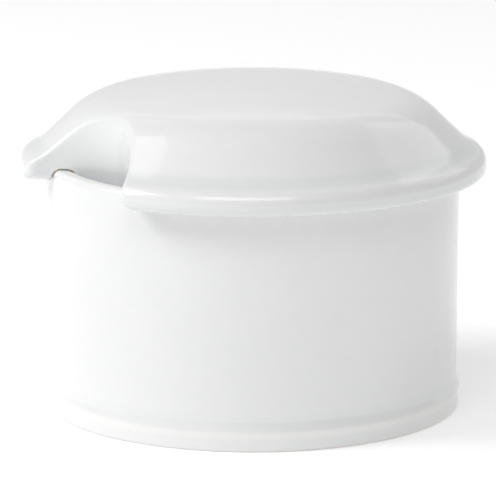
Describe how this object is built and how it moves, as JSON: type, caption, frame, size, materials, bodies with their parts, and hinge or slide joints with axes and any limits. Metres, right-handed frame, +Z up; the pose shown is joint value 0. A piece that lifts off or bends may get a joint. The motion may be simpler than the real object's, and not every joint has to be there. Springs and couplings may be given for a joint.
{
  "type": "sugar bowl",
  "caption": "Round white porcelain sugar bowl with a foot band and a lift-off domed lid whose overhanging lip has a spoon notch.",
  "frame": {"origin": "middle of the whole footprint on the table, 1.7 mm in front of the bowl's axis, because the notch shortens the lid's lip on the -Y side", "axes": "+Z up along the bowl's axis, and the spoon notch faces -Y"},
  "size_m": [0.1016, 0.0986, 0.072],
  "materials": {
    "bowl_porcelain": "glossy clear glaze over white porcelain, unglazed foot ring",
    "lid_porcelain": "glossy clear glaze over white porcelain, unglazed seat"
  },
  "bodies": {
    "bowl": {"bowl": "bowl_porcelain"},
    "lid": {"lid": "lid_porcelain"}
  },
  "joints": [
    {"name": "lid_lift", "type": "slide", "parent": "bowl", "child": "lid", "axis": [0, 0, 1], "range_m": [0, 0.08]}
  ]
}
